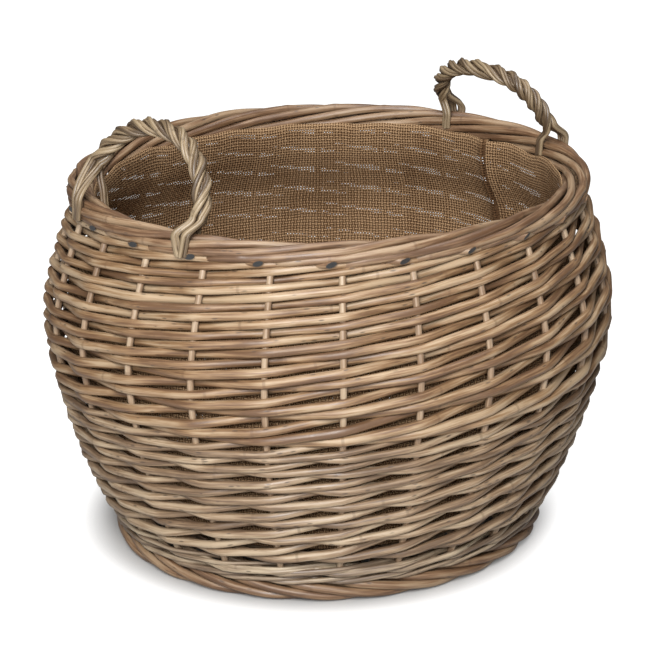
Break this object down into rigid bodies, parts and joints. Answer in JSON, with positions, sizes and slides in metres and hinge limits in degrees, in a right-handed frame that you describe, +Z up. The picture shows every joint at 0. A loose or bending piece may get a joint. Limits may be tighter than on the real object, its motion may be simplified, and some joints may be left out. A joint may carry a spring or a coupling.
{
  "type": "lined willow log basket",
  "caption": "Round-bellied woven willow basket with a plaited rim and foot, a loose cloth lining and two arched rope handles standing on the rim.",
  "frame": {"origin": "on the floor under the middle of the basket", "axes": "+Z up; the two handles stand on the rim at +X and -X, and the plan is a little longer along X"},
  "size_m": [0.5546, 0.5192, 0.4395],
  "materials": {
    "border_willow": "reddish tan rods with dark knots, satin",
    "stake_willow": "pale tan rods, satin",
    "thin_willow": "pale to grey tan rods, satin",
    "thick_willow": "honey tan rods with pale streaks and small knots, satin",
    "lining_cloth": "dark brown open hessian, matt",
    "handle_willow": "grey tan twisted rods, satin"
  },
  "bodies": {
    "root": {"foot_border": "border_willow", "rim_border": "border_willow", "base_sticks": "stake_willow", "stake_01": "stake_willow", "stake_02": "stake_willow", "stake_03": "stake_willow", "stake_04": "stake_willow", "stake_05": "stake_willow", "stake_06": "stake_willow", "stake_07": "stake_willow", "stake_08": "stake_willow", "stake_09": "stake_willow", "stake_10": "stake_willow", "stake_11": "stake_willow", "stake_12": "stake_willow", "stake_13": "stake_willow", "stake_14": "stake_willow", "stake_15": "stake_willow", "stake_16": "stake_willow", "stake_17": "stake_willow", "stake_18": "stake_willow", "stake_19": "stake_willow", "stake_20": "stake_willow", "stake_21": "stake_willow", "stake_22": "stake_willow", "stake_23": "stake_willow", "stake_24": "stake_willow", "base_weaver_1": "thin_willow", "base_weaver_2": "thin_willow", "upsett_wale": "thin_willow", "lower_band": "thin_willow", "upper_rod_01": "thick_willow", "upper_rod_02": "thick_willow", "upper_rod_03": "thick_willow", "upper_rod_04": "thick_willow", "upper_rod_05": "thick_willow", "upper_rod_06": "thick_willow", "upper_rod_07": "thick_willow", "upper_rod_08": "thick_willow", "upper_rod_09": "thick_willow", "upper_rod_10": "thick_willow", "upper_rod_11": "thick_willow", "upper_rod_12": "thick_willow", "upper_rod_13": "thick_willow", "upper_rod_14": "thick_willow", "upper_rod_15": "thick_willow", "upper_rod_16": "thick_willow", "upper_rod_17": "thick_willow", "upper_rod_18": "thick_willow", "upper_rod_19": "thick_willow", "upper_rod_20": "thick_willow", "upper_rod_21": "thick_willow", "upper_rod_22": "thick_willow", "upper_rod_23": "thick_willow", "upper_rod_24": "thick_willow", "lining": "lining_cloth", "handle_left_bow": "handle_willow", "handle_left_wrap": "handle_willow", "handle_right_bow": "handle_willow", "handle_right_wrap": "handle_willow"}
  },
  "joints": []
}
